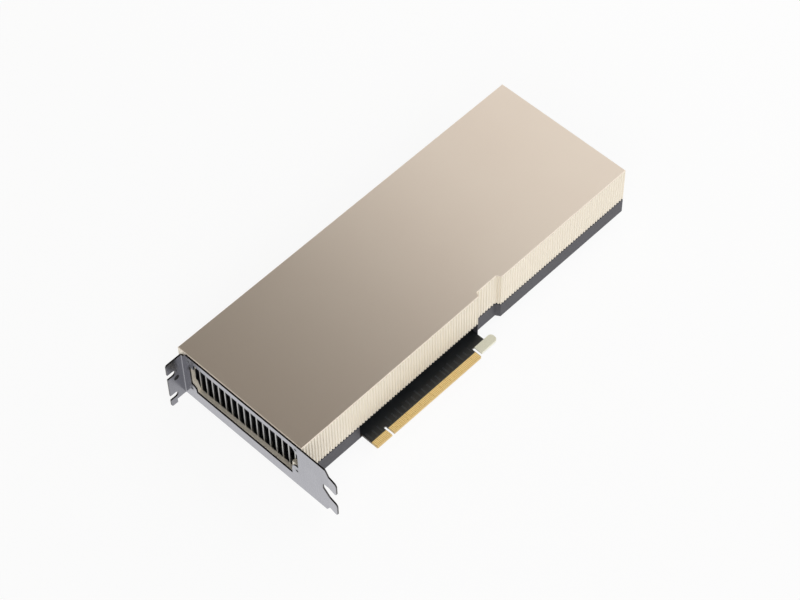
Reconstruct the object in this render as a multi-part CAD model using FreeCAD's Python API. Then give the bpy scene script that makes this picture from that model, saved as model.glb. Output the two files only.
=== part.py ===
import FreeCAD, Part
import math
import os

from FreeCAD import Vector

# Passive accelerator card: a full-height, dual-slot plug-in board with no fan of its own.
# Millimetres. +X runs from the bracket to the rear end, +Y from the contact edge to the far
# edge and +Z from the back plate to the cover.  The origin is the card's own datum: the centre
# line of the key notch (X), the tip of the contact edge (Y) and the middle of the board (Z).

# ---- body -----------------------------------------------------------------------------------
body_length = 267.7
body_width = 98.2
body_height = 38.7
frame_height = 12.0          # the dark base frame, with its back plate, under the cover
edge_reach = 12.95           # the contact edge stands this far out of the body's near wall
bracket_to_key = 57.65       # bracket's inner face to the centre of the key notch

# ---- cover ----------------------------------------------------------------------------------
cover_plate = 1.6
cover_rim = 0.7              # the top plate's plain edge over the flutes
cover_wall = 2.4             # measured from the crests of the flutes
flute_pitch = 2.15
flute_depth = 0.6
flute_crest = 0.42           # share of the pitch that is flat crest
flute_root = 0.22            # share of the pitch that is flat root
cover_edge = 0.3             # bevel round the top plate
flange_thickness = 2.3
flange_foot = 5.0            # underside of the front flange, above the back plate's face

# ---- latch notch in the near wall -------------------------------------------------------------
notch_start = 140.8
notch_length = 19.4
notch_depth = 2.8
notch_slant = 1.7            # length of each slanted corner

# ---- base frame and back plate ----------------------------------------------------------------
frame_wall = 2.1             # frame and back plate are flush with the flute crests
shadow_gap_depth = 1.0       # rebate along the frame's upper edge, under the flutes
shadow_gap_height = 0.6
plate_thickness = 1.0
plate_edge = 0.3
front_bar = 4.0
rear_beam = 5.0
rear_beam_top = 9.0
connector_gap_start = 44.0   # where the near wall stops for the contact edge
connector_gap_margin = 0.4

# ---- board --------------------------------------------------------------------------------------
board_thickness = 1.57
board_lift = 0.5             # spacers between the back plate and the board
board_margin = 6.8           # board's long edges inside the body's sides
board_clearance = 0.4
contact_first_half = 11.65   # tab from its front corner to the key notch
key_width = 1.9
contact_second_half = 71.65
key_depth = 7.25
latch_slot_width = 2.1
latch_slot_depth = 7.95
hook_width = 7.8             # how far the latch hook runs past the tab's slot
hook_tip = 5.8               # how far its tip overhangs the tab's own end
hook_height = 5.7
hook_radius = 2.3
hook_setback = 1.95          # the hook stops this far short of the contact edge
edge_bevel = 0.5
tab_corner = 0.6

# ---- contacts -----------------------------------------------------------------------------------
contact_pitch = 1.0
contact_width = 0.7
contact_length = 4.35
contact_setback = 0.55
contact_thickness = 0.06
contacts_before_key = 11
contacts_after_key = 71
contact_offset = 0.35        # copper's clearance from a notch wall

# ---- bracket ------------------------------------------------------------------------------------
sheet = 1.0
bracket_top_gap = 0.7        # bracket's upper edge under the cover's top
tab_top_drop = 2.8           # tab's upper edge under the bracket's
relief_start = 1.1           # the slope between them, from the fold plane
relief_end = 3.6
bracket_drop = 1.2           # bracket's lower edge under the body
slot_pitch = 20.32
single_width = 18.42
fold_setback = 3.3           # tab's near face, inside the body's far side
fold_radius = 0.6
tongue_width = 10.19
tongue_tip = 28.0            # tips, beyond the body's near wall
shoulder_start = 18.7
shoulder_end = 21.2
gap_root = 16.5
gap_slope_drop = 5.0
tongue_bend = 8.0            # degrees outwards
tongue_radius = 2.0
tab_depth = 11.4             # bracket's outer face to the tab's free edge
tab_corner_radius = 1.5
ear_drop = 4.4
ear_width = 4.6
screw_slot_width = 4.42
screw_slot_depth = 3.6       # free edge to the centre of the slot's round end
screw_slot_height = 3.8      # centre of the lower slot over the body's underside
plug_diameter = 3.8
plug_inset = 6.1             # from the tab's free edge
plug_height = 18.4

# ---- window through bracket and flange ------------------------------------------------------------
window_near = 2.8
window_far_margin = 9.2
window_floor = 7.3
window_head_drop = 4.6
window_screw_near = 3.95
window_screw_far_margin = 9.25
window_screw_top_drop = 4.25
window_screw_far_low = 8.5
window_screw_near_low = 13.3
window_boss = 3.55           # metal kept beside an upper screw's centre line
window_boss_height = 5.0     # and below it
window_ear = 3.9             # radius of the metal kept round each lower screw
window_lip = 0.5             # the cover's flange shows this much inside the bracket's window
window_chamfer = 4.0         # near upper corner
window_slope_rise = 0.5      # lower far corner: three short slopes up to the far edge
window_slope_run = 1.4
window_slope_top = 1.2
window_slope_middle = 0.3

# ---- exhaust grille -------------------------------------------------------------------------------
grille_sheet = 1.0
grille_bar = 1.0
grille_pitch = 5.08
grille_first_bar = 8.2
grille_rail = 1.2
grille_clearance = 0.3

# ---- heat sink ------------------------------------------------------------------------------------
sink_front = 12.0
sink_rear_gap = 12.7         # rear end of the heat sink to the rear end of the body
sink_margin = 7.2
sink_plate = 3.5
sink_underside = 9.0
sink_top_gap = 0.5
fin_thickness = 0.4
fin_pitch = 2.59
sink_boss_radius = 3.5

# ---- processor package ------------------------------------------------------------------------------
package_from_key = 62.35     # processor's centre, from the key notch
package_size = 55.0
substrate_thickness = 1.6
die_length = 32.0
die_width = 26.0
die_thickness = 0.8
memory_length = 11.9
memory_width = 7.8
memory_rows = 3
memory_gap = 0.6
stiffener_width = 4.0
stiffener_thickness = 0.6
pedestal_gap = 0.4

# ---- board parts --------------------------------------------------------------------------------------
inductor_size = 8.0
inductor_height = 4.0
inductor_pitch = 10.4
inductor_rows = 7
inductor_offset = 54.0       # each column's centre, from the processor's centre
power_stage_length = 6.0
power_stage_width = 5.0
power_stage_height = 0.9
power_stage_step = 9.0       # from an inductor's centre towards the processor
can_radius = 2.5
can_height = 4.8
can_front = 30.0             # the first column, from the bracket
can_from_inductors = 22.0    # the third column, from the rear inductors' centre
can_column_pitch = 10.0
can_rows = 5
can_pitch = 12.0

# ---- power inlet ----------------------------------------------------------------------------------------
inlet_width = 17.8
inlet_height = 9.6
inlet_depth = 10.8
inlet_setback = 0.8
inlet_from_far = 9.5
inlet_cell = 3.5
inlet_cell_pitch = 4.2
inlet_cell_depth = 8.6
inlet_columns = 4
inlet_rows = 2
inlet_pin = 1.0
inlet_pin_length = 7.2
inlet_latch_width = 3.6
inlet_latch_height = 1.6
inlet_clearance = 0.3

# ---- fasteners --------------------------------------------------------------------------------------------
cover_screw_radius = 1.25
cover_screw_length = 18.0
cover_screw_head = 2.2
cover_boss = 5.0
cover_boss_depth = 4.2
cover_boss_height = 10.0
cover_screw_line = 4.35      # screw's centre inside the flute crests
cover_screw_setback = 22.0   # from either end of the body
cover_screw_after_notch = 26.0
board_screw_radius = 1.5
board_screw_length = 9.5
board_screw_head = 2.4
board_screw_along = 36.0     # from the processor's centre
board_screw_across = 33.0
edge_screw_front = 22.0
edge_screw_rear_setback = 15.0
edge_screw_gap = 24.0
edge_screw_inset = 12.5
bracket_screw_radius = 1.0
bracket_screw_head = 1.9
bracket_screw_length = 3.2
socket_share = 0.5           # drive socket across its corners, as a share of the head
socket_depth = 0.55
hole_clearance = 0.15
spacer_radius = 3.2
insert_radius = 2.1
insert_bore = 1.25
insert_length = 4.0
insert_height = 5.2
insert_near = 14.0
insert_from_inlet = 8.5

# ---- places worked out from the sizes above -----------------------------------------------------------------
board_bottom = plate_thickness + board_lift
board_top = board_bottom + board_thickness
board_middle = board_bottom + board_thickness / 2
cover_underside = body_height - cover_plate
key_front = bracket_to_key - key_width / 2
tab_front = key_front - contact_first_half
key_rear = bracket_to_key + key_width / 2
contacts_end = key_rear + contact_second_half
hook_root = contacts_end + latch_slot_width
tab_rear = hook_root + hook_width
sink_rear = body_length - sink_rear_gap
board_rear = body_length - rear_beam - board_clearance
board_front = front_bar + board_clearance
package_x = bracket_to_key + package_from_key
package_y = body_width / 2
notch_end = notch_start + notch_length
fold_plane = body_width - fold_setback
screw_slot_heights = (screw_slot_height, screw_slot_height + slot_pitch)
bracket_top = body_height - bracket_top_gap
tab_top = bracket_top - tab_top_drop
window_far = body_width - window_far_margin
window_head = body_height - window_head_drop
window_screw_far = body_width - window_screw_far_margin
window_screw_top = body_height - window_screw_top_drop
tongue_centres = (single_width / 2 - bracket_drop, single_width / 2 - bracket_drop + slot_pitch)

OUTPUT = "parts"


def at(along, across, up):
    """A point given from the bracket's inner face, the near wall and the underside."""
    return Vector(along - bracket_to_key, across + edge_reach, up - board_middle)


def block(along, across, up):
    """A rectangular solid from three (low, high) pairs."""
    size = [pair[1] - pair[0] for pair in (along, across, up)]
    return Part.makeBox(size[0], size[1], size[2], at(along[0], across[0], up[0]))


def prism(points, direction):
    """A closed outline of points, extruded along a vector."""
    return Part.Face(Part.makePolygon(points + [points[0]])).extrude(direction)


def plan_prism(outline, low, high):
    """An outline of (along, across) points, extruded upwards."""
    points = [at(along, across, low) for along, across in outline]
    return prism(points, Vector(0, 0, high - low))


def face_prism(outline, front, back):
    """An outline of (across, up) points, extruded towards the rear."""
    points = [at(front, across, up) for across, up in outline]
    return prism(points, Vector(back - front, 0, 0))


def upright(radius, along, across, low, high):
    """A cylinder standing on its end."""
    return Part.makeCylinder(radius, high - low, at(along, across, low))


def lengthwise(radius, across, up, front, back):
    """A cylinder lying along the card."""
    return Part.makeCylinder(radius, back - front, at(front, across, up), Vector(1, 0, 0))


def merged(solids):
    """One clean solid from solids that share faces."""
    return solids[0].fuse(solids[1:]).removeSplitter()


def rounded(solid, direction, places, radius):
    """Round the edges that run in a direction through the given places."""
    edges = []
    for place in places:
        for edge in solid.Edges:
            ends = [vertex.Point for vertex in edge.Vertexes]
            if len(ends) == 2 and all((end - place).cross(direction).Length < 1e-6 for end in ends):
                edges.append(edge)
    return solid.makeFillet(radius, edges)


def save(name, solids):
    """One STEP file for one named piece or one group of like pieces."""
    shape = solids[0] if len(solids) == 1 else Part.makeCompound(solids)
    shape.exportStep(os.path.join(OUTPUT, name + ".step"))


# ---- outlines that several pieces share -----------------------------------------------------------------------
def near_side(inset):
    """The near wall's line with its latch notch, set inwards by a distance."""
    turn = math.atan2(notch_depth, notch_slant)
    shift = inset * math.tan(turn / 2)
    return [
        (0, inset),
        (notch_start - shift, inset),
        (notch_start + notch_slant - shift, notch_depth + inset),
        (notch_end - notch_slant + shift, notch_depth + inset),
        (notch_end + shift, inset),
        (body_length, inset),
    ]


def body_outline(inset):
    """The whole body seen from above, with plain sides."""
    far = body_width - inset
    return near_side(inset) + [(body_length, far), (0, far)]


def fluted(start, end, inward):
    """Points of a fluted run whose crests lie on the line from start to end."""
    length = math.dist(start, end)
    count = max(1, round(length / flute_pitch))
    step = length / count
    run = ((end[0] - start[0]) / length, (end[1] - start[1]) / length)
    flank = (1 - flute_crest - flute_root) / 2
    points = []
    for number in range(count):
        for share, depth in ((flute_crest / 2, 0), (flute_crest / 2 + flank, flute_depth),
                             (1 - flute_crest / 2 - flank, flute_depth), (1 - flute_crest / 2, 0)):
            travel = (number + share) * step
            points.append((start[0] + run[0] * travel + inward[0] * depth,
                           start[1] + run[1] * travel + inward[1] * depth))
    return points


def fluted_near_wall():
    """Plan of the near wall: flutes outside, plain inside."""
    corners = near_side(0)
    outer = [corners[0]]
    for start, end in zip(corners, corners[1:]):
        length = math.dist(start, end)
        inward = (-(end[1] - start[1]) / length, (end[0] - start[0]) / length)
        outer += fluted(start, end, inward) + [end]
    return outer + list(reversed(near_side(cover_wall)))


def fluted_far_wall():
    """Plan of the far wall."""
    start = (0, body_width)
    end = (body_length, body_width)
    inner = body_width - cover_wall
    return [start] + fluted(start, end, (0, -1)) + [end, (body_length, inner), (0, inner)]


def window_outline(lip, near_low, far_low):
    """The exhaust window, stepped round the upper screws, with its two lower corners given."""
    far_step = window_screw_far - window_boss
    return near_low + far_low + [
        (window_far - lip, window_screw_top - window_boss_height),
        (far_step, window_screw_top - window_boss_height),
        (far_step, window_head),
        (window_near + window_chamfer, window_head),
        (window_near, window_head - window_chamfer),
    ]


def flange_window(front, back):
    """The window through the cover's flange: square past the near screw, sloped past the far one."""
    floor = window_floor + window_lip
    near_step = window_screw_near + window_ear + window_lip
    near_top = window_screw_near_low + window_ear + window_lip
    far_step = window_screw_far - window_boss
    far = window_far - window_lip
    corner = window_screw_far_low + window_boss_height
    near_low = [(window_near, near_top), (near_step, near_top), (near_step, floor)]
    far_low = [(far_step - window_slope_rise, floor), (far_step, window_screw_far_low + window_slope_rise),
               (far - window_slope_run, corner + window_slope_middle), (far, corner + window_slope_top)]
    return face_prism(window_outline(window_lip, near_low, far_low), front, back)


def bracket_window(front, back):
    """The window through the bracket, with a round ear kept for each lower screw."""
    near_step = window_screw_near + window_ear
    far_step = window_screw_far - window_ear
    near_low = [(window_near, window_screw_near_low), (near_step, window_screw_near_low),
                (near_step, window_floor)]
    far_low = [(far_step, window_floor), (far_step, window_screw_far_low), (window_far, window_screw_far_low)]
    window = face_prism(window_outline(0, near_low, far_low), front, back)
    return window.cut([lengthwise(window_ear, window_screw_near, window_screw_near_low, front, back),
                       lengthwise(window_ear, window_screw_far, window_screw_far_low, front, back)])


# ---- fasteners ---------------------------------------------------------------------------------------------------
def countersunk_screw(radius, head, length, seat, axis):
    """A countersunk screw with a hexagon socket; its head's face lies at seat."""
    depth = head - radius
    screw = merged([
        Part.makeCone(head, radius, depth, seat, axis),
        Part.makeCylinder(radius, length - depth, seat + axis * depth, axis),
    ])
    side = axis.cross(Vector(0, 1, 0)).normalize()
    other = axis.cross(side)
    corners = []
    for number in range(6):
        angle = math.radians(60 * number)
        corners.append(seat + (side * math.cos(angle) + other * math.sin(angle)) * head * socket_share)
    return screw.cut(prism(corners, axis * socket_depth))


def countersink(radius, head, length, seat, axis):
    """The hole that such a screw drops into: its head fits, its shank has clearance."""
    depth = head - radius
    return merged([
        Part.makeCone(head, radius, depth, seat, axis),
        Part.makeCylinder(radius + hole_clearance, length, seat, axis),
    ])


def cover_screw_places():
    """Centres of the screws that hold the cover, as (along, across)."""
    rear = body_length - cover_screw_setback
    near_row = (cover_screw_setback, notch_end + cover_screw_after_notch, rear)
    far_row = (cover_screw_setback, body_length / 2, rear)
    places = [(along, cover_screw_line) for along in near_row]
    return places + [(along, body_width - cover_screw_line) for along in far_row]


def board_screw_places():
    """Centres of the screws that clamp the back plate and board to the heat sink."""
    places = []
    last = sink_rear - edge_screw_rear_setback
    for side in (-1, 1):
        for end in (-1, 1):
            places.append((package_x + end * board_screw_along, package_y + side * board_screw_across))
        for along in (edge_screw_front, last - edge_screw_gap, last):
            places.append((along, package_y + side * (package_y - edge_screw_inset)))
    return places


def bracket_screw_places():
    """Centres of the screws round the window, as (across, up)."""
    return [
        (window_screw_near, window_screw_top),
        (window_screw_far, window_screw_top),
        (window_screw_near, window_screw_near_low),
        (window_screw_far, window_screw_far_low),
    ]


UP = Vector(0, 0, 1)
INWARD = Vector(1, 0, 0)


def cover_screws():
    """Long countersunk screws from the back plate up into the cover's bosses."""
    return [countersunk_screw(cover_screw_radius, cover_screw_head, cover_screw_length, at(x, y, 0), UP)
            for x, y in cover_screw_places()]


def board_screws():
    """Countersunk screws from the back plate through the board into the heat sink."""
    return [countersunk_screw(board_screw_radius, board_screw_head, board_screw_length, at(x, y, 0), UP)
            for x, y in board_screw_places()]


def bracket_screws():
    """Small countersunk screws flush with the bracket's outer face."""
    return [countersunk_screw(bracket_screw_radius, bracket_screw_head, bracket_screw_length,
                              at(-sheet, y, z), INWARD)
            for y, z in bracket_screw_places()]


# ---- housing -----------------------------------------------------------------------------------------------------
def top_cover():
    """Fluted cover: top plate, two fluted walls, the front flange and the screw bosses."""
    rim = body_height - cover_rim
    plate = plan_prism(body_outline(0), rim, body_height)
    top_edges = [edge for edge in plate.Edges
                 if all(abs(vertex.Z - (body_height - board_middle)) < 1e-6 for vertex in edge.Vertexes)]
    plate = plate.makeChamfer(cover_edge, top_edges)
    backing = plan_prism(body_outline((flute_depth + cover_wall) / 2), cover_underside, rim)
    near_wall = plan_prism(fluted_near_wall(), frame_height, rim)
    far_wall = plan_prism(fluted_far_wall(), frame_height, rim)
    flange = block((0, flange_thickness), (cover_wall, body_width - cover_wall),
                   (flange_foot, cover_underside))
    flange = flange.cut(flange_window(-sheet, flange_thickness + sheet))
    pieces = [plate, backing, near_wall, far_wall, flange]
    boss_top = frame_height + cover_boss_height
    for along, across in cover_screw_places():
        if across < body_width / 2:
            sides = (cover_wall, cover_wall + cover_boss_depth)
        else:
            sides = (body_width - cover_wall - cover_boss_depth, body_width - cover_wall)
        pieces.append(block((along - cover_boss / 2, along + cover_boss / 2), sides, (frame_height, boss_top)))
    cover = merged(pieces)
    holes = [upright(cover_screw_radius, x, y, frame_height, cover_screw_length)
             for x, y in cover_screw_places()]
    holes += [lengthwise(bracket_screw_radius, y, z, 0, flange_thickness) for y, z in bracket_screw_places()]
    return cover.cut(holes)


def base_frame():
    """Perimeter frame under the cover, open where the contact edge comes out."""
    ring = plan_prism(body_outline(0), plate_thickness, frame_height)
    gap_floor = frame_height - shadow_gap_height
    rebate = plan_prism(body_outline(0), gap_floor, frame_height)
    rebate = rebate.cut(plan_prism(body_outline(shadow_gap_depth), gap_floor, frame_height))
    inner = near_side(frame_wall)
    far = body_width - frame_wall
    rear = body_length - rear_beam
    hollow = [(front_bar, inner[0][1])] + inner[1:-1] + [(rear, inner[-1][1]), (rear, far), (front_bar, far)]
    gap_end = tab_rear + connector_gap_margin
    near_limit = frame_wall + notch_depth
    cuts = [
        rebate,
        plan_prism(hollow, plate_thickness, frame_height),
        block((0, front_bar), (frame_wall, far), (flange_foot, frame_height)),
        block((rear, body_length), (frame_wall, far), (rear_beam_top, frame_height)),
        block((connector_gap_start, gap_end), (0, near_limit), (plate_thickness, frame_height)),
        block((rear, body_length), inlet_span(inlet_clearance), (board_top - inlet_clearance, frame_height)),
    ]
    ring = ring.cut(cuts)
    columns = []
    for along, across in cover_screw_places():
        if across < body_width / 2:
            sides = (frame_wall, cover_wall + cover_boss_depth)
        else:
            sides = (body_width - cover_wall - cover_boss_depth, far)
        columns.append(block((along - cover_boss / 2, along + cover_boss / 2), sides,
                             (plate_thickness, frame_height)))
    ring = merged([ring] + columns)
    holes = [upright(cover_screw_radius + hole_clearance, x, y, plate_thickness, frame_height)
             for x, y in cover_screw_places()]
    holes += [lengthwise(insert_radius, y, insert_height, body_length - insert_length, body_length)
              for y in insert_places()]
    return ring.cut(holes)


def back_plate():
    """Flat plate under the board, countersunk for every screw that enters from below."""
    plate = plan_prism(body_outline(0), 0, plate_thickness)
    low_edges = [edge for edge in plate.Edges
                 if all(abs(vertex.Z + board_middle) < 1e-6 for vertex in edge.Vertexes)]
    plate = plate.makeChamfer(plate_edge, low_edges)
    holes = [countersink(cover_screw_radius, cover_screw_head, plate_thickness, at(x, y, 0), UP)
             for x, y in cover_screw_places()]
    holes += [countersink(board_screw_radius, board_screw_head, plate_thickness, at(x, y, 0), UP)
              for x, y in board_screw_places()]
    return plate.cut(holes)


# ---- board -------------------------------------------------------------------------------------------------------
def circuit_board():
    """Board with the contact tab, the key notch and the latch hook."""
    far = body_width - board_margin
    hook_low = hook_setback - edge_reach
    hook_high = hook_low + hook_height
    outline = [
        (board_front, board_margin),
        (tab_front, board_margin),
        (tab_front, tab_corner - edge_reach),
        (tab_front + tab_corner, -edge_reach),
        (key_front, -edge_reach),
        (key_front, key_depth - edge_reach),
        (key_rear, key_depth - edge_reach),
        (key_rear, -edge_reach),
        (contacts_end - tab_corner, -edge_reach),
        (contacts_end, tab_corner - edge_reach),
        (contacts_end, latch_slot_depth - edge_reach),
        (hook_root, latch_slot_depth - edge_reach),
        (hook_root, hook_low),
        (tab_rear + hook_tip, hook_low),
        (tab_rear + hook_tip, hook_high),
        (tab_rear, hook_high),
        (tab_rear, board_margin),
        (board_rear, board_margin),
        (board_rear, far),
        (board_front, far),
    ]
    board = plan_prism(outline, board_bottom, board_top)
    tip_corners = [at(tab_rear + hook_tip, across, 0) for across in (hook_low, hook_high)]
    board = rounded(board, Vector(0, 0, 1), tip_corners, hook_radius)
    bevel_start = edge_bevel - edge_reach
    cuts = []
    for face, inner in ((board_bottom, board_bottom + edge_bevel), (board_top, board_top - edge_bevel)):
        wedge = [at(tab_front, bevel_start, face), at(tab_front, -edge_reach, face),
                 at(tab_front, -edge_reach, inner)]
        cuts.append(prism(wedge, Vector(contacts_end - tab_front, 0, 0)))
    cuts += [upright(board_screw_radius + hole_clearance, x, y, board_bottom, board_top)
             for x, y in board_screw_places()]
    return board.cut(cuts)


def contact_row(low, high):
    """One side's row of contacts, either side of the key notch."""
    first = key_front - contact_offset - contact_width
    places = [first - number * contact_pitch for number in range(contacts_before_key)]
    first = key_rear + contact_offset
    places += [first + number * contact_pitch for number in range(contacts_after_key)]
    across = (contact_setback - edge_reach, contact_setback + contact_length - edge_reach)
    return [block((along, along + contact_width), across, (low, high)) for along in sorted(places)]


def board_spacers():
    """Rings that hold the board off the back plate round each board screw."""
    rings = []
    for along, across in board_screw_places():
        ring = upright(spacer_radius, along, across, plate_thickness, board_bottom)
        hole = upright(board_screw_radius + hole_clearance, along, across, plate_thickness, board_bottom)
        rings.append(ring.cut(hole))
    return rings


# ---- bracket -----------------------------------------------------------------------------------------------------
def folded_sheet():
    """The bracket's bent strip: tongues turned outwards, face, and tab folded outwards."""
    tip_run = tongue_tip - shoulder_end
    tip_shift = tip_run * math.tan(math.radians(tongue_bend))
    outside = fold_radius
    low = -max(ear_drop, bracket_drop)
    free_edge = -sheet - tab_depth

    def point(along, across):
        return at(along, across, low)

    corner = math.sqrt(0.5)
    near_centre = (-sheet - outside, fold_plane - outside)
    inner_middle = (near_centre[0] + outside * corner, near_centre[1] + outside * corner)
    reach = outside + sheet
    outer_middle = (near_centre[0] + reach * corner, near_centre[1] + reach * corner)
    profile = [
        Part.LineSegment(point(-tip_shift, -tongue_tip), point(0, -shoulder_end)),
        Part.LineSegment(point(0, -shoulder_end), point(0, near_centre[1])),
        Part.Arc(point(0, near_centre[1]), point(*outer_middle), point(near_centre[0], fold_plane + sheet)),
        Part.LineSegment(point(near_centre[0], fold_plane + sheet), point(free_edge, fold_plane + sheet)),
        Part.LineSegment(point(free_edge, fold_plane + sheet), point(free_edge, fold_plane)),
        Part.LineSegment(point(free_edge, fold_plane), point(near_centre[0], fold_plane)),
        Part.Arc(point(near_centre[0], fold_plane), point(*inner_middle), point(-sheet, near_centre[1])),
        Part.LineSegment(point(-sheet, near_centre[1]), point(-sheet, -shoulder_end)),
        Part.LineSegment(point(-sheet, -shoulder_end), point(-sheet - tip_shift, -tongue_tip)),
        Part.LineSegment(point(-sheet - tip_shift, -tongue_tip), point(-tip_shift, -tongue_tip)),
    ]
    wire = Part.Wire([segment.toShape() for segment in profile])
    return Part.Face(wire).extrude(Vector(0, 0, bracket_top - low))


def bracket_face_outline():
    """The bracket's outline seen from outside, as (across, up) points."""
    half = tongue_width / 2
    low_centre, high_centre = tongue_centres
    beyond = fold_plane + 2 * sheet
    return [
        (beyond, tab_top),
        (fold_plane - relief_start, tab_top),
        (fold_plane - relief_end, bracket_top),
        (-shoulder_start, bracket_top),
        (-shoulder_end, high_centre + half),
        (-tongue_tip, high_centre + half),
        (-tongue_tip, high_centre - half),
        (-gap_root, high_centre - half),
        (-gap_root, low_centre + half + gap_slope_drop),
        (-shoulder_end, low_centre + half),
        (-tongue_tip, low_centre + half),
        (-tongue_tip, low_centre - half),
        (-shoulder_end, low_centre - half),
        (-shoulder_start, -bracket_drop),
        (fold_plane - fold_radius, -bracket_drop),
        (fold_plane - fold_radius, -ear_drop),
        (beyond, -ear_drop),
    ]


def bracket():
    """Folded sheet with two tongues, the exhaust window and the slotted tab."""
    half = tongue_width / 2
    free_edge = -sheet - tab_depth
    tip_corners = [(-tongue_tip, centre + side * half) for centre in tongue_centres for side in (-1, 1)]
    root_corners = [(-gap_root, tongue_centres[1] - half), (-gap_root, tongue_centres[0] + half + gap_slope_drop)]
    outline = face_prism(bracket_face_outline(), free_edge - sheet, sheet)
    corners = [at(0, across, up) for across, up in tip_corners + root_corners]
    outline = rounded(outline, Vector(1, 0, 0), corners, tongue_radius)
    plate = folded_sheet().common(outline)
    cuts = [bracket_window(-2 * sheet, sheet)]
    cuts.append(block((free_edge + ear_width, sheet), (0, fold_plane + 2 * sheet), (-2 * ear_drop, -bracket_drop)))
    across = (fold_plane - sheet, fold_plane + 2 * sheet)
    for up in screw_slot_heights:
        radius = screw_slot_width / 2
        centre = free_edge + screw_slot_depth
        cuts.append(block((free_edge - sheet, centre), across, (up - radius, up + radius)))
        cuts.append(Part.makeCylinder(radius, 3 * sheet, at(centre, across[0], up), Vector(0, 1, 0)))
    cuts.append(Part.makeCylinder(plug_diameter / 2, 3 * sheet, at(free_edge + plug_inset, across[0], plug_height),
                                  Vector(0, 1, 0)))
    for across_place, up in bracket_screw_places():
        cuts.append(countersink(bracket_screw_radius, bracket_screw_head, 2 * sheet,
                                at(-sheet, across_place, up), INWARD))
    plate = plate.cut(cuts)
    corners = []
    for edge in plate.Edges:
        ends = [vertex.Point for vertex in edge.Vertexes]
        outer = at(free_edge, 0, 0).x
        if len(ends) == 2 and all(abs(end.x - outer) < 1e-6 for end in ends):
            heights = [end.z + board_middle for end in ends]
            if max(heights) - min(heights) < 1e-6 and (heights[0] > tab_top - 0.1 or heights[0] < 0.1 - ear_drop):
                corners.append(edge)
    return plate.makeFillet(tab_corner_radius, corners)


def tab_plug():
    """Black plug pressed into the tab's round hole, with a shallow dished face."""
    centre = at(-sheet - tab_depth + plug_inset, fold_plane, plug_height)
    plug = Part.makeCylinder(plug_diameter / 2, sheet, centre, Vector(0, 1, 0))
    dish = Part.makeCylinder(plug_diameter / 2 - 0.5, 0.3, centre, Vector(0, 1, 0))
    return plug.cut(dish)


# ---- air path ----------------------------------------------------------------------------------------------------
def exhaust_grille():
    """Upright bars between two rails, behind the cover's front flange."""
    front = flange_thickness
    back = front + grille_sheet
    low = flange_foot
    high = cover_underside - grille_clearance
    near = cover_wall + grille_clearance
    far = body_width - cover_wall - grille_clearance
    plate = block((front, back), (near, far), (low, high))
    slots = []
    count = int((window_far - grille_first_bar) / grille_pitch)
    edges = [near + grille_clearance - grille_bar / 2]
    edges += [grille_first_bar + number * grille_pitch for number in range(count + 1)]
    edges.append(edges[-1] + grille_pitch)
    for left, right in zip(edges, edges[1:]):
        slots.append(block((front, back), (left + grille_bar / 2, right - grille_bar / 2),
                           (low + grille_rail, high - grille_rail)))
    return plate.cut(slots)


def heatsink_base():
    """Base plate with the pedestal over the processor and a boss for every board screw."""
    plate = block((sink_front, sink_rear), (sink_margin, body_width - sink_margin),
                  (sink_underside, sink_underside + sink_plate))
    side = (package_size - 2 * stiffener_width) / 2 - pedestal_gap
    foot = board_top + substrate_thickness + die_thickness
    pieces = [plate, block((package_x - side, package_x + side), (package_y - side, package_y + side),
                           (foot, sink_underside))]
    pieces += [upright(sink_boss_radius, x, y, board_top, sink_underside) for x, y in board_screw_places()]
    holes = [upright(board_screw_radius, x, y, board_top, board_screw_length)
             for x, y in board_screw_places()]
    return merged(pieces).cut(holes)


def heatsink_fins():
    """Folded fins, each a channel whose flanges reach the next fin."""
    low = sink_underside + sink_plate
    high = cover_underside - sink_top_gap
    span = body_width - 2 * sink_margin - fin_thickness
    count = int(span / fin_pitch)
    start = (body_width - count * fin_pitch - fin_thickness) / 2
    fins = []
    for number in range(count + 1):
        near = start + number * fin_pitch
        wall = near + fin_thickness
        flange = near + fin_pitch if number < count else wall + fin_thickness
        profile = [
            (near, low), (flange, low), (flange, low + fin_thickness), (wall, low + fin_thickness),
            (wall, high - fin_thickness), (flange, high - fin_thickness), (flange, high), (near, high),
        ]
        fins.append(face_prism(profile, sink_front, sink_rear))
    return fins


# ---- parts on the board ------------------------------------------------------------------------------------------
def centred_block(along, across, length, width, low, high):
    return block((along - length / 2, along + length / 2), (across - width / 2, across + width / 2), (low, high))


def processor_substrate():
    """Laminate carrier of the processor package."""
    return centred_block(package_x, package_y, package_size, package_size,
                         board_top, board_top + substrate_thickness)


def processor_die():
    """Bare die in the middle of the package."""
    low = board_top + substrate_thickness
    return centred_block(package_x, package_y, die_width, die_length, low, low + die_thickness)


def memory_stacks():
    """Stacked memory on both sides of the die."""
    low = board_top + substrate_thickness
    reach = die_width / 2 + memory_gap + memory_width / 2
    step = memory_length + memory_gap
    stacks = []
    for side in (-1, 1):
        for row in range(memory_rows):
            across = package_y + (row - (memory_rows - 1) / 2) * step
            stacks.append(centred_block(package_x + side * reach, across, memory_width, memory_length,
                                        low, low + die_thickness))
    return stacks


def package_stiffener():
    """Metal ring that keeps the package flat."""
    low = board_top + substrate_thickness
    high = low + stiffener_thickness
    inner = package_size - 2 * stiffener_width
    ring = centred_block(package_x, package_y, package_size, package_size, low, high)
    return ring.cut(centred_block(package_x, package_y, inner, inner, low, high))


def inductor_columns():
    """Where the two columns of inductors stand along the card."""
    return (package_x - inductor_offset, package_x + inductor_offset)


def inductor_places():
    """Centres of the power inductors, in a column on each side of the processor."""
    places = []
    for column in inductor_columns():
        for row in range(inductor_rows):
            places.append((column, package_y + (row - (inductor_rows - 1) / 2) * inductor_pitch))
    return places


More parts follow.
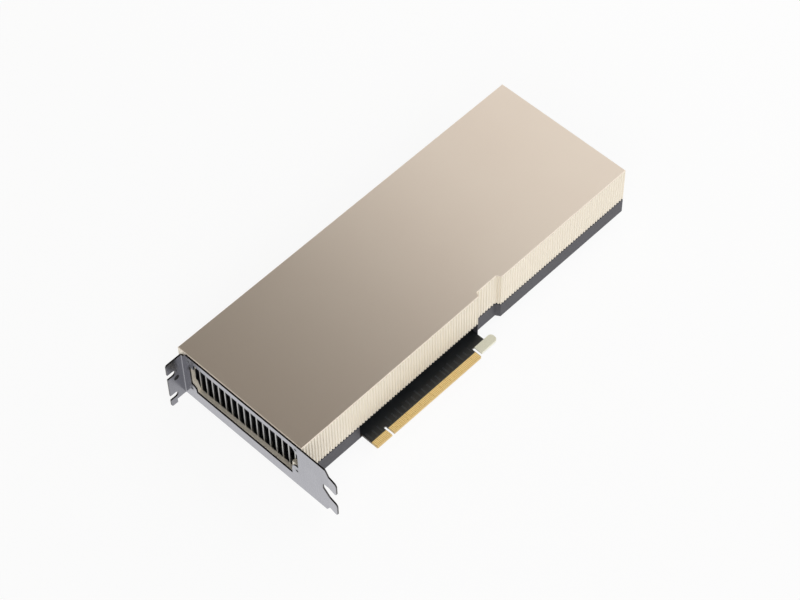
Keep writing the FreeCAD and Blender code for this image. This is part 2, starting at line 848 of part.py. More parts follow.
def inductors():
    """Square moulded inductors."""
    bodies = []
    for along, across in inductor_places():
        body = centred_block(along, across, inductor_size, inductor_size, board_top, board_top + inductor_height)
        corners = [edge for edge in body.Edges
                   if abs(edge.Vertexes[0].Z - edge.Vertexes[1].Z) > inductor_height / 2]
        bodies.append(body.makeChamfer(inductor_size / 10, corners))
    return bodies


def power_stages():
    """Flat power chips beside the inductors, on the processor's side."""
    chips = []
    for along, across in inductor_places():
        step = power_stage_step if along < package_x else -power_stage_step
        chips.append(centred_block(along + step, across, power_stage_width, power_stage_length,
                                   board_top, board_top + power_stage_height))
    return chips


def thermal_pads():
    """Soft strips between each column of inductors and the heat sink."""
    length = inductor_pitch * (inductor_rows - 1) + inductor_size
    return [centred_block(column, package_y, inductor_size, length, board_top + inductor_height, sink_underside)
            for column in inductor_columns()]


def capacitors():
    """Round polymer cans in rows near both ends of the board."""
    cans = []
    rear = inductor_columns()[1] + can_from_inductors
    for column in (can_front, can_front + can_column_pitch, rear, rear + can_column_pitch):
        for row in range(can_rows):
            across = package_y + (row - (can_rows - 1) / 2) * can_pitch
            cans.append(upright(can_radius, column, across, board_top, board_top + can_height))
    return cans


# ---- power inlet -------------------------------------------------------------------------------------------------
def inlet_span(clearance):
    """The inlet's width as an (across, across) pair, widened by a clearance."""
    far = body_width - inlet_from_far
    return (far - inlet_width - clearance, far + clearance)


def inlet_cells():
    """Centres of the inlet's cells, as (across, up)."""
    near, far = inlet_span(0)
    centre = (near + far) / 2
    middle = board_top + inlet_height / 2
    cells = []
    for row in range(inlet_rows):
        for column in range(inlet_columns):
            cells.append((centre + (column - (inlet_columns - 1) / 2) * inlet_cell_pitch,
                          middle + (row - (inlet_rows - 1) / 2) * inlet_cell_pitch))
    return cells


def power_inlet():
    """Right-angle power inlet at the rear end, with a latch ramp on its upper side."""
    back = body_length - inlet_setback
    front = back - inlet_depth
    near, far = inlet_span(0)
    top = board_top + inlet_height
    housing = block((front, back), (near, far), (board_top, top))
    centre = (near + far) / 2
    half = inlet_latch_width / 2
    ramp = prism([at(front + 2 * inlet_latch_height, centre - half, top),
                  at(back - inlet_latch_height, centre - half, top),
                  at(back - inlet_latch_height, centre - half, top + inlet_latch_height)],
                 Vector(0, inlet_latch_width, 0))
    cells = [block((back - inlet_cell_depth, back), (y - inlet_cell / 2, y + inlet_cell / 2),
                   (z - inlet_cell / 2, z + inlet_cell / 2)) for y, z in inlet_cells()]
    return merged([housing, ramp]).cut(cells)


def inlet_pins():
    """One square pin standing in each cell."""
    floor = body_length - inlet_setback - inlet_cell_depth
    half = inlet_pin / 2
    return [block((floor, floor + inlet_pin_length), (y - half, y + half), (z - half, z + half))
            for y, z in inlet_cells()]


def insert_places():
    """Centres of the two inserts across the rear beam."""
    return (insert_near, inlet_span(0)[0] - insert_from_inlet)


def rear_inserts():
    """Threaded inserts in the rear beam, for a card support."""
    inserts = []
    for across in insert_places():
        sleeve = lengthwise(insert_radius, across, insert_height, body_length - insert_length, body_length)
        bore = lengthwise(insert_bore, across, insert_height, body_length - insert_length, body_length)
        inserts.append(sleeve.cut(bore))
    return inserts


os.makedirs(OUTPUT, exist_ok=True)
save("top_cover", [top_cover()])
save("base_frame", [base_frame()])
save("back_plate", [back_plate()])
save("circuit_board", [circuit_board()])
save("contacts_component_side", contact_row(board_top, board_top + contact_thickness))
save("contacts_solder_side", contact_row(board_bottom - contact_thickness, board_bottom))
save("board_spacers", board_spacers())
save("bracket", [bracket()])
save("bracket_screws", bracket_screws())
save("tab_plug", [tab_plug()])
save("exhaust_grille", [exhaust_grille()])
save("heatsink_base", [heatsink_base()])
save("heatsink_fins", heatsink_fins())
save("processor_substrate", [processor_substrate()])
save("processor_die", [processor_die()])
save("memory_stacks", memory_stacks())
save("package_stiffener", [package_stiffener()])
save("inductors", inductors())
save("power_stages", power_stages())
save("thermal_pads", thermal_pads())
save("capacitors", capacitors())
save("power_inlet", [power_inlet()])
save("inlet_pins", inlet_pins())
save("rear_inserts", rear_inserts())
save("cover_screws", cover_screws())
save("board_screws", board_screws())
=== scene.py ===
import math

import bpy
from mathutils import Matrix, Vector


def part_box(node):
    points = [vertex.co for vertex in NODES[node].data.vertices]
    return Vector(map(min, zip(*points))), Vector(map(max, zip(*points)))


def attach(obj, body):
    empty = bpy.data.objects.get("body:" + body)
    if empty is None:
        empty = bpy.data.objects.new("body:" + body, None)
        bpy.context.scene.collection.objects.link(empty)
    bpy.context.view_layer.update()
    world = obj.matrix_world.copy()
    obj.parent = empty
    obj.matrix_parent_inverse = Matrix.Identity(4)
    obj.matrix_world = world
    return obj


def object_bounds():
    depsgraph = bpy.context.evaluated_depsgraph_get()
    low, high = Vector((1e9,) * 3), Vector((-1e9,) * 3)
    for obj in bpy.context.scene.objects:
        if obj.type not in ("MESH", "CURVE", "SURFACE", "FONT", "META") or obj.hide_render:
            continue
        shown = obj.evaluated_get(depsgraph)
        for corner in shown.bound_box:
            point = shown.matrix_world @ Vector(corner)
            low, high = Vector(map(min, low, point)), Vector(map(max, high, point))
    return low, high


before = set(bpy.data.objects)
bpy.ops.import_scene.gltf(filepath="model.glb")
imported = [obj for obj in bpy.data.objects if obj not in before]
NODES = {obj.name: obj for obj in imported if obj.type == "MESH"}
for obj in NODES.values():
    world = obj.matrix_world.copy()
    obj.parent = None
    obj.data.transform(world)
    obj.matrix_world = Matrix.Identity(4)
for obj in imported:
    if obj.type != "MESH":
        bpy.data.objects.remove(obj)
cad_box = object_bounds()
MM = 0.001

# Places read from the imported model: the card's datum is the key notch and the contact edge.
CONTACTS_LOW, CONTACTS_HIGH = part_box("contacts_component_side")
BOARD_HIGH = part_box("circuit_board")[1]
COVER_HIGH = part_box("top_cover")[1]
BRACKET_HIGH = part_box("bracket")[1]

TOP_START = COVER_HIGH.z - 0.35 * MM         # the cover's top face lies above this, its flutes below
HOOK_START = CONTACTS_HIGH.x + 1.35 * MM     # middle of the slot between the contacts and the latch hook
HOOK_TOP = 7.65 * MM                         # upper edge of the latch hook over the contact edge
MASK_EDGE = CONTACTS_HIGH.y + 0.1 * MM       # the strip under the contacts carries no solder mask
TAB_START = BRACKET_HIGH.x - 1.3 * MM        # past the bracket's face, which is 1.0 mm sheet
FOLD_START = BRACKET_HIGH.y - 2.5 * MM       # where the bracket turns into its tab

# A face is a cut edge where its normal has less than this along the sheet's own.
BOARD_EDGE_LEAN = 0.5
BRACKET_EDGE_LEAN = 0.6

WHITE = (1, 1, 1, 1)
NOISE_RANGE = {"From Min": 0.3, "From Max": 0.7}     # where nearly all of a noise's values lie


# ---- small helpers -------------------------------------------------------------------------------
def linear(code):
    """An sRGB hex colour as linear RGBA."""
    channels = [int(code[start:start + 2], 16) / 255 for start in (1, 3, 5)]
    values = [c / 12.92 if c <= 0.04045 else ((c + 0.055) / 1.055) ** 2.4 for c in channels]
    return (*values, 1.0)


def add(tree, kind, links=None, **settings):
    """One node with its settings. A link is a value, an output, or a node for its first output in use."""
    new = tree.nodes.new(kind)
    for name, value in settings.items():
        setattr(new, name, value)
    for key, value in (links or {}).items():
        if isinstance(value, bpy.types.Node):
            value = next(output for output in value.outputs if output.enabled)
        if isinstance(value, bpy.types.NodeSocket):
            tree.links.new(value, new.inputs[key])
        else:
            new.inputs[key].default_value = value
    return new


def finish(name, dark, light, grain, stretch=(1, 1, 1), detail=3.0, clouds=None, rough=None,
           relief=None, **values):
    """A material that wanders between two colours, in a grain of a real size in millimetres.

    Roughness (lowest, highest) and relief (depth in millimetres, strength) follow the grain. So
    does the colour, unless clouds gives the size of a wider pattern for it. What is the same all
    over goes to the shader's own sockets.
    """
    material = bpy.data.materials.new(name)
    material.use_nodes = True
    tree = material.node_tree
    tree.nodes.clear()
    place = add(tree, "ShaderNodeTexCoord", name="place").outputs["Object"]
    stretched = add(tree, "ShaderNodeMapping", {"Vector": place, "Scale": stretch})
    fine = add(tree, "ShaderNodeTexNoise", {
        "Vector": stretched, "Scale": 1.0 / (grain * MM), "Detail": detail}, name="grain")
    wide = fine
    if clouds:
        wide = add(tree, "ShaderNodeTexNoise", {
            "Vector": place, "Scale": 1.0 / (clouds * MM), "Detail": 3.0})
    share = add(tree, "ShaderNodeMapRange", {"Value": wide, **NOISE_RANGE}, name="share")
    values["Base Color"] = add(tree, "ShaderNodeMix", {
        "Factor": share, "A": linear(dark), "B": linear(light)}, name="colour", data_type="RGBA")
    if rough:
        values["Roughness"] = add(tree, "ShaderNodeMapRange", {
            "Value": fine, **NOISE_RANGE, "To Min": rough[0], "To Max": rough[1]}, name="roughness")
    if relief:
        values["Normal"] = add(tree, "ShaderNodeBump", {
            "Height": fine, "Distance": relief[0] * MM, "Strength": relief[1]})
    shader = add(tree, "ShaderNodeBsdfPrincipled", values, name="shader")
    add(tree, "ShaderNodeOutputMaterial", {"Surface": shader})
    return material


# ---- materials -----------------------------------------------------------------------------------
def anodised_cover():
    """Blasted aluminium, anodised champagne: a broad satin shine, smoother on top than on the flutes."""
    # the blasting grit is about 0.1 mm, drawn coarser to show
    material = finish("champagne_anodised_aluminium", "#ebe3d4", "#eee6d7", 0.5, detail=1.0,
                      clouds=60.0, rough=(0.48, 0.54))
    tree = material.node_tree
    nodes = tree.nodes
    axes = add(tree, "ShaderNodeSeparateXYZ", {"Vector": nodes["place"].outputs["Object"]}).outputs
    top = add(tree, "ShaderNodeMath", {0: axes["Z"], 1: TOP_START}, operation="GREATER_THAN")
    top_colour = add(tree, "ShaderNodeMix", {
        "Factor": nodes["share"], "A": linear("#eddfd0"), "B": linear("#efe2d3")}, data_type="RGBA")
    top_rough = add(tree, "ShaderNodeMapRange", {
        "Value": nodes["grain"], **NOISE_RANGE, "To Min": 0.34, "To Max": 0.38})
    for socket, kind, on_sides, on_top in (("Base Color", "RGBA", nodes["colour"], top_colour),
                                           ("Roughness", "FLOAT", nodes["roughness"], top_rough),
                                           ("Metallic", "FLOAT", 0.5, 0.8)):
        either = add(tree, "ShaderNodeMix", {"Factor": top, "A": on_sides, "B": on_top}, data_type=kind)
        tree.links.new(either.outputs["Result"], nodes["shader"].inputs[socket])
    return material


def powder_coat():
    """Dark grey powder coat on steel: satin, with a faint orange peel."""
    return finish("dark_grey_powder_coat", "#3a393e", "#424147", 0.6, detail=2.0, clouds=25.0,
                  rough=(0.44, 0.56), relief=(0.03, 0.4), IOR=1.5)


def solder_mask():
    """Black solder mask, smooth with a soft gloss, over glass laminate that is bare in three places."""
    material = finish("black_solder_mask", "#16181a", "#1d1f21", 0.4, (1.0, 0.4, 1.0), clouds=4.0,
                      Roughness=0.38, IOR=1.5)
    tree = material.node_tree
    nodes = tree.nodes
    axes = add(tree, "ShaderNodeSeparateXYZ", {"Vector": nodes["place"].outputs["Object"]}).outputs
    normal = add(tree, "ShaderNodeNewGeometry").outputs["True Normal"]
    looks = add(tree, "ShaderNodeSeparateXYZ", {"Vector": normal}).outputs
    upright = add(tree, "ShaderNodeMath", {0: looks["Z"]}, operation="ABSOLUTE")
    cut_edge = add(tree, "ShaderNodeMath", {0: upright, 1: BOARD_EDGE_LEAN}, operation="LESS_THAN")
    strip = add(tree, "ShaderNodeMath", {0: axes["Y"], 1: MASK_EDGE}, operation="LESS_THAN")
    past_slot = add(tree, "ShaderNodeMath", {0: axes["X"], 1: HOOK_START}, operation="GREATER_THAN")
    low = add(tree, "ShaderNodeMath", {0: axes["Y"], 1: HOOK_TOP}, operation="LESS_THAN")
    hook = add(tree, "ShaderNodeMath", {0: past_slot, 1: low}, operation="MULTIPLY")
    # the hook is pale, with the glass weave just showing; the cut edges and the strip are browner
    weave = add(tree, "ShaderNodeMapRange", {"Value": nodes["grain"], **NOISE_RANGE})
    woven = add(tree, "ShaderNodeMix", {
        "Factor": weave, "A": linear("#d8d7c3"), "B": linear("#e4e3d1")}, data_type="RGBA")
    colour = nodes["colour"]
    for bare, laminate in ((cut_edge, linear("#33291c")), (strip, linear("#cdb077")), (hook, woven)):
        colour = add(tree, "ShaderNodeMix", {"Factor": bare, "A": colour, "B": laminate},
                     data_type="RGBA")
    tree.links.new(colour.outputs["Result"], nodes["shader"].inputs["Base Color"])
    return material


def masked_copper():
    """Black mask where copper lies under it: paler, smoother and slightly blue."""
    return finish("black_mask_over_copper", "#2e3237", "#373b40", 2.0, Roughness=0.3, IOR=1.55)


def hard_gold():
    """Hard gold plating on the contacts: warm and softly bright, wiped along the contact."""
    return finish("hard_gold_plating", "#ffdf98", "#ffe8ac", 0.5, (1.0, 0.1, 1.0),
                  rough=(0.26, 0.34), Metallic=0.85)


def nickel_sheet():
    """Satin nickel-plated steel sheet with a faint rolled grain, with painted shade on its tab and its
    sheared edges.
    """
    # the rolling lines are far finer, and drawn coarser to show
    material = finish("satin_nickel_plated_steel", "#a9a9af", "#b1b1b7", 0.5, (1.0, 1.0, 0.04),
                      clouds=18.0, rough=(0.2, 0.3), relief=(0.006, 0.2), Metallic=1.0)
    tree = material.node_tree
    nodes = tree.nodes
    axes = add(tree, "ShaderNodeSeparateXYZ", {"Vector": nodes["place"].outputs["Object"]}).outputs
    normal = add(tree, "ShaderNodeNewGeometry").outputs["True Normal"]
    looks = add(tree, "ShaderNodeSeparateXYZ", {"Vector": normal}).outputs
    outside = add(tree, "ShaderNodeMath", {0: axes["X"], 1: TAB_START}, operation="LESS_THAN")
    past_fold = add(tree, "ShaderNodeMath", {0: axes["Y"], 1: FOLD_START}, operation="GREATER_THAN")
    tab = add(tree, "ShaderNodeMath", {0: outside, 1: past_fold}, operation="MULTIPLY")
    # the sheet looks along X on the bracket's face and along Y on its tab: what doesn't is sheared
    facing = add(tree, "ShaderNodeMix", {"Factor": tab, "A": looks["X"], "B": looks["Y"]},
                 data_type="FLOAT")
    flat = add(tree, "ShaderNodeMath", {0: facing}, operation="ABSOLUTE")
    sheared = add(tree, "ShaderNodeMath", {0: flat, 1: BRACKET_EDGE_LEAN}, operation="LESS_THAN")
    colour = nodes["colour"]
    # painted dark reflection on the tab, which mirrors dim surroundings, and painted shade on the sheared
    # edges
    for where, painted_dark in ((tab, "#8b8b91"), (sheared, "#4f4d4d")):
        colour = add(tree, "ShaderNodeMix", {"Factor": where, "A": colour, "B": linear(painted_dark)},
                     data_type="RGBA")
    tree.links.new(colour.outputs["Result"], nodes["shader"].inputs["Base Color"])
    return material


def stamped_aluminium():
    """Plain stamped sheet of the grille: pale grey, its upright rolling grain drawn coarser to show."""
    return finish("stamped_aluminium", "#b4b4b2", "#c6c6c4", 0.4, (1.0, 1.0, 0.05),
                  Metallic=1.0, Roughness=0.4)


def dark_fins():
    """Aluminium of the fins and their base, coloured dark as painted shade inside the cover: satin, its
    rolling lines drawn coarse.
    """
    return finish("fin_aluminium_painted_shade", "#202022", "#2d2d30", 0.8, (0.06, 1.0, 1.0),
                  Metallic=0.6, Roughness=0.5)


def zinc_plating():
    """Zinc-plated steel of small fasteners, spacers and the stiffener: bright, slightly cloudy."""
    return finish("zinc_plated_steel", "#9c9da1", "#b4b5b9", 0.8, Metallic=1.0, Roughness=0.35)


def black_oxide():
    """Black-oxide steel of the screws in the back plate: dark, with a dull metal shine."""
    return finish("black_oxide_steel", "#1d1d20", "#2b2b2f", 1.2, Metallic=0.7, Roughness=0.4)


def moulded_black():
    """Glass-filled nylon, moulded black, with a spark-eroded texture that is drawn coarser to show."""
    return finish("moulded_black_nylon", "#0f0f10", "#18181a", 0.3, relief=(0.02, 0.3),
                  Roughness=0.55, IOR=1.53)


def green_laminate():
    """Dark green laminate of the processor's carrier: satin and faintly mottled."""
    return finish("green_laminate", "#173324", "#1f4230", 2.0, Roughness=0.45, IOR=1.5)


def polished_silicon():
    """Ground silicon: dark, smooth and slightly blue."""
    return finish("polished_silicon", "#3c3f49", "#474b57", 5.0, Metallic=0.5, Roughness=0.12)


def pressed_powder():
    """Pressed iron powder of the inductors: dull grey, with grains that are drawn coarser to show."""
    return finish("pressed_iron_powder", "#3c3c3d", "#565657", 0.25, relief=(0.03, 0.4),
                  Roughness=0.75, IOR=1.6)


def gap_pad():
    """Soft silicone gap pad, grey-blue and matt."""
    return finish("silicone_gap_pad", "#8a93a0", "#98a1ae", 1.5, Roughness=0.85, IOR=1.43)


def drawn_can():
    """Drawn aluminium can of the polymer capacitors: bright, its upright lines drawn coarser to show."""
    return finish("drawn_aluminium", "#c4c4c6", "#d4d4d6", 0.8, (1.0, 1.0, 0.1),
                  Metallic=1.0, Roughness=0.3)


def turned_brass():
    """Turned brass of the threaded inserts: warm, its turning rings drawn coarser to show."""
    return finish("turned_brass", "#c9a75e", "#dbbb75", 0.4, (1.0, 0.2, 0.2),
                  Metallic=1.0, Roughness=0.3)


def dress(material, *names):
    """Give CAD nodes a material in every slot."""
    for name in names:
        slots = NODES[name].data.materials
        if not slots:
            slots.append(material)
        for number in range(len(slots)):
            slots[number] = material


dress(anodised_cover(), "top_cover")
dress(powder_coat(), "base_frame", "back_plate")
dress(solder_mask(), "circuit_board")
dress(hard_gold(), "contacts_component_side", "contacts_solder_side", "inlet_pins")
dress(nickel_sheet(), "bracket")
dress(zinc_plating(), "bracket_screws", "board_spacers", "package_stiffener")
# painted shade: the tab plug's black stands for the dark seen through the hole in the bracket's tab
dress(moulded_black(), "tab_plug", "power_inlet", "memory_stacks", "power_stages")
dress(stamped_aluminium(), "exhaust_grille")
# painted shade: the fins and their base are dark to stand for the shadow inside the cover
dress(dark_fins(), "heatsink_base", "heatsink_fins")
dress(black_oxide(), "cover_screws", "board_screws")
dress(green_laminate(), "processor_substrate")
dress(polished_silicon(), "processor_die")
dress(pressed_powder(), "inductors")
dress(gap_pad(), "thermal_pads")
dress(drawn_can(), "capacitors")
dress(turned_brass(), "rear_inserts")


# ---- copper runs under the board's mask ----------------------------------------------------------
RUN_HEIGHT = 0.04 * MM
RUN_SIZES = {
    "Contacts": 82,
    "Before Key": 11,                    # contacts on the bracket's side of the key notch
    "Turn Back": 60,                     # from the key to this contact, pairs step off the bracket
    "Group Size": 4,                     # contacts in a group: two grounds and a signal pair
    "Pitch": 1.0 * MM,
    "First Contact": CONTACTS_LOW.x + 0.35 * MM,
    "Key Step": 2.3 * MM,                # extra room that the key notch takes
    "Start": CONTACTS_HIGH.y - 0.1 * MM,
    "Least Lead": 0.35 * MM,             # straight stretch up to the first bend, and what chance adds
    "More Lead": 1.6 * MM,
    "Least Step": 0.4 * MM,              # sideways step of a pair, and what chance adds
    "More Step": 0.6 * MM,
    "Pair Drawn In": 0.45 * MM,          # how much closer the two of a pair come
    "Room": 7.2 * MM,                    # from the contacts to the last via
    "Least Reach": 0.6,                  # share of that room that a signal uses, and what chance adds
    "More Reach": 0.4,
    "Ground Reach": 0.8 * MM,
    "Width": 0.24 * MM,
    "Height": RUN_HEIGHT,
    "Via Radius": 0.26 * MM,
    "Via Depth": 1.6 * RUN_HEIGHT,       # a via stands a little proud of its run
    "Via Sides": 12,
    "Board Face": BOARD_HIGH.z,
    "Seed": 7,
}

# Each point of a run starts on a cube of side 1, whose length along Y becomes the run's: -0.5 is
# its start at the contact and 0.5 its end at the via, with two bends in between. These steps take
# the point to its place, each as result, operation and terms. "lane" is the contact's number.
RUN_STEPS = (
    ("place", "MODULO", "shifted lane", "Group Size"),       # 0 and 1 are grounds, 2 and 3 a pair
    ("signal", "GREATER_THAN", "place", 1.5),
    ("ground", "SUBTRACT", 1.0, "signal"),
    ("before key", "LESS_THAN", "lane", "Before Key"),
    ("past key", "SUBTRACT", 1.0, "before key"),
    ("before turn", "LESS_THAN", "lane", "Turn Back"),
    ("onward", "MULTIPLY", "past key", "before turn"),
    ("direction", "MULTIPLY_ADD", "onward", 2.0, -1.0),      # -1 is towards the bracket
    ("off middle", "SUBTRACT", 2.5, "place"),                # a pair's middle lies at 2.5
    ("drawn in", "MULTIPLY", "off middle", "Pair Drawn In"),
    ("stride", "MULTIPLY_ADD", "step chance", "More Step", "Least Step"),
    ("sideways", "MULTIPLY_ADD", "stride", "direction", "drawn in"),
    ("step", "MULTIPLY", "signal", "sideways"),              # a ground runs straight
    ("lead share", "MULTIPLY", "signal", "lead chance"),
    ("lead", "MULTIPLY_ADD", "lead share", "More Lead", "Least Lead"),
    ("reach share", "MULTIPLY_ADD", "reach chance", "More Reach", "Least Reach"),
    ("signal reach", "MULTIPLY", "Room", "reach share"),
    ("ground reach", "MULTIPLY", "ground", "Ground Reach"),
    ("reach", "MULTIPLY_ADD", "signal", "signal reach", "ground reach"),
    ("slant", "ABSOLUTE", "step"),                           # between the bends it runs at 45 degrees
    ("past lead", "SUBTRACT", "reach", "lead"),
    ("rest", "SUBTRACT", "past lead", "slant"),
    ("contact x", "MULTIPLY_ADD", "lane", "Pitch", "First Contact"),
    ("start x", "MULTIPLY_ADD", "past key", "Key Step", "contact x"),
    ("middle x", "MULTIPLY_ADD", "step", "second stretch", "start x"),
    ("x", "MULTIPLY_ADD", "local x", "Width", "middle x"),
    ("lead y", "MULTIPLY_ADD", "first stretch", "lead", "Start"),
    ("slant y", "MULTIPLY_ADD", "second stretch", "slant", "lead y"),
    ("y", "MULTIPLY_ADD", "third stretch", "rest", "slant y"),
    ("upward", "ADD", "local z", 0.5),
    ("z", "MULTIPLY_ADD", "upward", "Height", "low"),
)


def run_place(tree, sizes, side, lane, local):
    """Where a point of a run goes, from its contact's number and its place on the cube."""
    known = {**sizes, "lane": lane, "local x": local[0], "local z": local[2]}
    known["shifted lane"] = add(tree, "ShaderNodeMath", {0: lane, 1: 1.0}, operation="ADD")
    groups = add(tree, "ShaderNodeMath", {0: known["shifted lane"], 1: sizes["Group Size"]},
                 operation="DIVIDE")
    group = add(tree, "ShaderNodeMath", {0: groups}, operation="FLOOR")
    # each face of the board and each use of chance has its own seed
    for number, what in enumerate(("step chance", "lead chance", "reach chance"), 1):
        seed = add(tree, "ShaderNodeMath", {0: sizes["Seed"], 1: 10.0 * side + number}, operation="ADD")
        known[what] = add(tree, "FunctionNodeRandomValue", {"ID": group, "Seed": seed})
    stretches = ("first stretch", "second stretch", "third stretch")
    run = add(tree, "ShaderNodeMath", {0: local[1], 1: len(stretches), 2: len(stretches) / 2},
              operation="MULTIPLY_ADD")
    for number, what in enumerate(stretches):
        known[what] = add(tree, "ShaderNodeMath", {0: run, 1: number}, operation="SUBTRACT",
                          use_clamp=True)
    for result, operation, *terms in RUN_STEPS:
        links = {number: known.get(term, term) for number, term in enumerate(terms)}
        known[result] = add(tree, "ShaderNodeMath", links, operation=operation)
    return add(tree, "ShaderNodeCombineXYZ", {"X": known["x"], "Y": known["y"], "Z": known["z"]})


def copper_face(tree, given, side):
    """The runs and vias on one face of the board: short grounds, and signal pairs that step sideways."""
    sizes = {name: given[name] for name in RUN_SIZES}
    sizes["low"] = given["Board Face"]
    if side < 0:
        outer = add(tree, "ShaderNodeMath", {0: given["Board Face"], 1: given["Height"]}, operation="ADD")
        sizes["low"] = add(tree, "ShaderNodeMath", {0: outer, 1: -1.0}, operation="MULTIPLY")
    contacts = add(tree, "GeometryNodeMeshLine", {"Count": given["Contacts"], "Offset": (0, 0, 0)})
    number = add(tree, "GeometryNodeInputIndex")
    numbered = add(tree, "GeometryNodeStoreNamedAttribute", {
        "Geometry": contacts, "Name": "lane", "Value": number}, data_type="FLOAT", domain="POINT")
    bar = add(tree, "GeometryNodeMeshCube", {"Size": (1, 1, 1), "Vertices Y": 4})
    bars = add(tree, "GeometryNodeInstanceOnPoints", {"Points": numbered, "Instance": bar})
    plain_bars = add(tree, "GeometryNodeRealizeInstances", {"Geometry": bars})
    lane = add(tree, "GeometryNodeInputNamedAttribute", {"Name": "lane"}, data_type="FLOAT")
    local = add(tree, "ShaderNodeSeparateXYZ", {0: add(tree, "GeometryNodeInputPosition")}).outputs
    runs = add(tree, "GeometryNodeSetPosition", {
        "Geometry": plain_bars, "Position": run_place(tree, sizes, side, lane, local)})

    far_end = (0.0, 0.5, 0.0)
    ends = add(tree, "GeometryNodeSetPosition", {
        "Geometry": contacts, "Position": run_place(tree, sizes, side, number, far_end)})
    pad = add(tree, "GeometryNodeMeshCylinder", {
        "Vertices": given["Via Sides"], "Radius": given["Via Radius"], "Depth": given["Via Depth"]})
    vias = add(tree, "GeometryNodeInstanceOnPoints", {"Points": ends, "Instance": pad})
    return runs, vias


def copper_runs(material):
    """A run of copper from each contact on both faces of the board, each ending in a via."""
    tree = bpy.data.node_groups.new("copper_runs", "GeometryNodeTree")
    tree.interface.new_socket("Geometry", in_out="OUTPUT", socket_type="NodeSocketGeometry")
    for name, value in RUN_SIZES.items():
        kind = "NodeSocketInt" if isinstance(value, int) else "NodeSocketFloat"
        tree.interface.new_socket(name, in_out="INPUT", socket_type=kind)
    given = add(tree, "NodeGroupInput").outputs
    whole = add(tree, "GeometryNodeJoinGeometry")
    for side in (1, -1):
        for made in copper_face(tree, given, side):
            tree.links.new(made.outputs[0], whole.inputs[0])
    real = add(tree, "GeometryNodeRealizeInstances", {"Geometry": whole})
    coated = add(tree, "GeometryNodeSetMaterial", {"Geometry": real, "Material": material})
    add(tree, "NodeGroupOutput", {0: coated})
    return tree


def grown(name, tree, sizes):
    """A plain mesh from a Geometry Nodes tree, its modifier gone."""
    piece = bpy.data.objects.new(name, bpy.data.meshes.new(name))
    bpy.context.scene.collection.objects.link(piece)
    modifier = piece.modifiers.new("grow", "NODES")
    modifier.node_group = tree
    for item in tree.interface.items_tree:
        if item.in_out == "INPUT":
            modifier[item.identifier] = sizes[item.name]
    seen = piece.evaluated_get(bpy.context.evaluated_depsgraph_get())
    mesh = bpy.data.meshes.new_from_object(seen)
    piece.modifiers.remove(modifier)
    piece.data = mesh
    mesh.attributes.remove(mesh.attributes["lane"])
    return piece


runs = grown("copper_runs", copper_runs(masked_copper()), RUN_SIZES)
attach(runs, "root")


# ---- studio --------------------------------------------------------------------------------------
CEILING = (0.038, 0.023, 0.004, 1.0)     # a dim warm brown, linear, where the surroundings are 1
CEILING_UP = {"From Min": 0.25, "From Max": 0.5}     # it sets in at this height of a direction
CEILING_BACK = {"From Min": -0.4, "From Max": 0.0}   # and this far round to the back
FLOOR_REACH = 6.0
FLOOR_GLOW = 0.9                         # the rest of what the camera sees of the floor is lit paper
REAR_LAMP_EDGE = 0.37                    # X of the edge that the cover's top mirrors
REAR_LAMP_WIDTH = 1.2


def floor():
    """Plain white floor; only a little of its shade shows."""
    low = cad_box[0][2]
    corners = [(x * FLOOR_REACH, y * FLOOR_REACH, low) for x, y in ((-1, -1), (1, -1), (1, 1), (-1, 1))]
    mesh = bpy.data.meshes.new("floor")
    mesh.from_pydata(corners, [], [(0, 1, 2, 3)])
    plane = bpy.data.objects.new("floor", mesh)
    bpy.context.scene.collection.objects.link(plane)
    material = bpy.data.materials.new("white_paper")
    material.use_nodes = True
    tree = material.node_tree
    tree.nodes.clear()
    # it glows for what looks at it, and is only paper for the light that falls on things
    rays = add(tree, "ShaderNodeLightPath").outputs
    direct = add(tree, "ShaderNodeMath", {0: rays["Is Camera Ray"], 1: rays["Is Glossy Ray"]},
                 operation="MAXIMUM")
    seen = add(tree, "ShaderNodeMath", {0: direct, 1: rays["Is Transmission Ray"]}, operation="MAXIMUM")
    share = add(tree, "ShaderNodeMath", {0: seen, 1: FLOOR_GLOW}, operation="MULTIPLY")
    paper = add(tree, "ShaderNodeBsdfDiffuse", {"Color": linear("#f2f2f2")})
    glow = add(tree, "ShaderNodeEmission", {"Color": WHITE, "Strength": 1.0})
    mixed = add(tree, "ShaderNodeMixShader", {0: share, 1: paper, 2: glow})
    add(tree, "ShaderNodeOutputMaterial", {"Surface": mixed})
    mesh.materials.append(material)


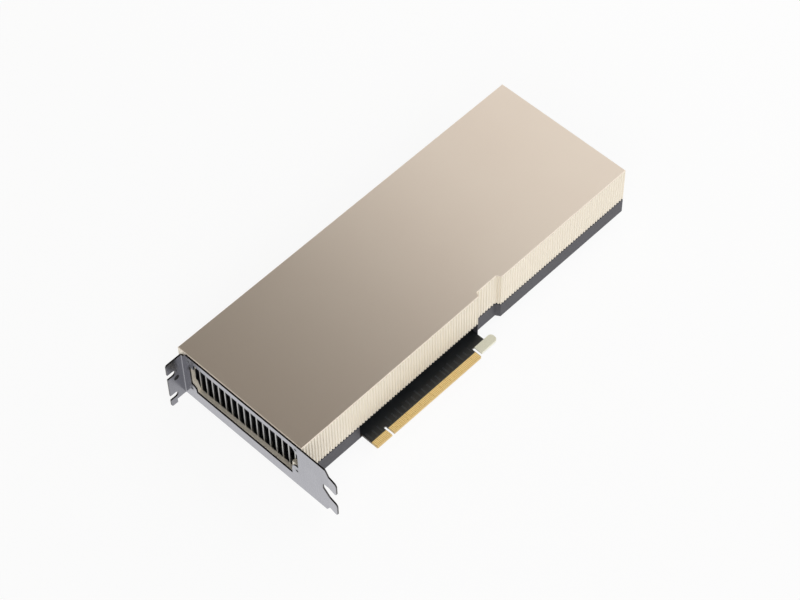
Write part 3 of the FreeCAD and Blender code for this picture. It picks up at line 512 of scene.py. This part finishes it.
def studio_world():
    """White surroundings; the ceiling behind the card is dim and warm."""
    world = bpy.data.worlds.new("studio")
    bpy.context.scene.world = world
    world.use_nodes = True
    tree = world.node_tree
    tree.nodes.clear()
    direction = add(tree, "ShaderNodeTexCoord").outputs["Generated"]
    axes = add(tree, "ShaderNodeSeparateXYZ", {"Vector": direction}).outputs
    overhead = add(tree, "ShaderNodeMapRange", {"Value": axes["Z"], **CEILING_UP})
    behind = add(tree, "ShaderNodeMapRange", {"Value": axes["Y"], **CEILING_BACK})
    dim = add(tree, "ShaderNodeMath", {0: overhead, 1: behind}, operation="MULTIPLY")
    surroundings = add(tree, "ShaderNodeMix", {"Factor": dim, "A": WHITE, "B": CEILING},
                       data_type="RGBA")
    to_camera = add(tree, "ShaderNodeLightPath").outputs["Is Camera Ray"]
    shown = add(tree, "ShaderNodeMix", {"Factor": to_camera, "A": surroundings, "B": WHITE},
                data_type="RGBA")
    background = add(tree, "ShaderNodeBackground", {"Color": shown, "Strength": 1.0})
    add(tree, "ShaderNodeOutputWorld", {"Surface": background})


def softbox(name, middle, width, depth, radiance, aim=None, mirrored=True):
    """A soft lamp, as bright as a surface of this radiance, facing down or towards a point."""
    data = bpy.data.lights.new(name, "AREA")
    data.shape = "RECTANGLE"
    data.size = width
    data.size_y = depth
    data.energy = radiance * math.pi * width * depth
    lamp = bpy.data.objects.new(name, data)
    lamp.location = middle
    if aim:
        lamp.rotation_euler = (Vector(aim) - Vector(middle)).to_track_quat("-Z", "Y").to_euler()
    lamp.visible_camera = False
    lamp.visible_glossy = mirrored
    bpy.context.scene.collection.objects.link(lamp)


def camera():
    """Looks down on the bracket end and the contact edge."""
    position = Vector((-0.51560, -0.52455, 1.12619))
    azimuth = math.radians(45.08)
    pitch = math.radians(53.64)
    roll = math.radians(-1.357)
    forward = Vector((math.cos(azimuth) * math.cos(pitch), math.sin(azimuth) * math.cos(pitch),
                      -math.sin(pitch)))
    level = Vector((math.sin(azimuth), -math.cos(azimuth), 0))
    upward = level.cross(forward)
    right = level * math.cos(roll) + upward * math.sin(roll)
    up = upward * math.cos(roll) - level * math.sin(roll)
    data = bpy.data.cameras.new("camera")
    data.lens = 107.81
    data.sensor_width = 36.0
    data.clip_end = 20.0
    seat = bpy.data.objects.new("camera", data)
    turned = Matrix((right, up, -forward)).transposed().to_4x4()
    seat.matrix_world = Matrix.Translation(position) @ turned
    bpy.context.scene.collection.objects.link(seat)
    bpy.context.scene.camera = seat


floor()
studio_world()
# the rear lamp's near edge hangs over the card's middle, as the card mirrors it
softbox("rear_softbox", middle=(REAR_LAMP_EDGE + REAR_LAMP_WIDTH / 2, 0.3, 0.6),
        width=REAR_LAMP_WIDTH, depth=1.6, radiance=0.9)
softbox("side_softbox", middle=(-0.75, -0.95, 0.6), width=1.4, depth=1.0, radiance=2.0,
        aim=(0.07, 0.0, 0.0), mirrored=False)
camera()
bpy.context.scene.view_settings.view_transform = "Standard"
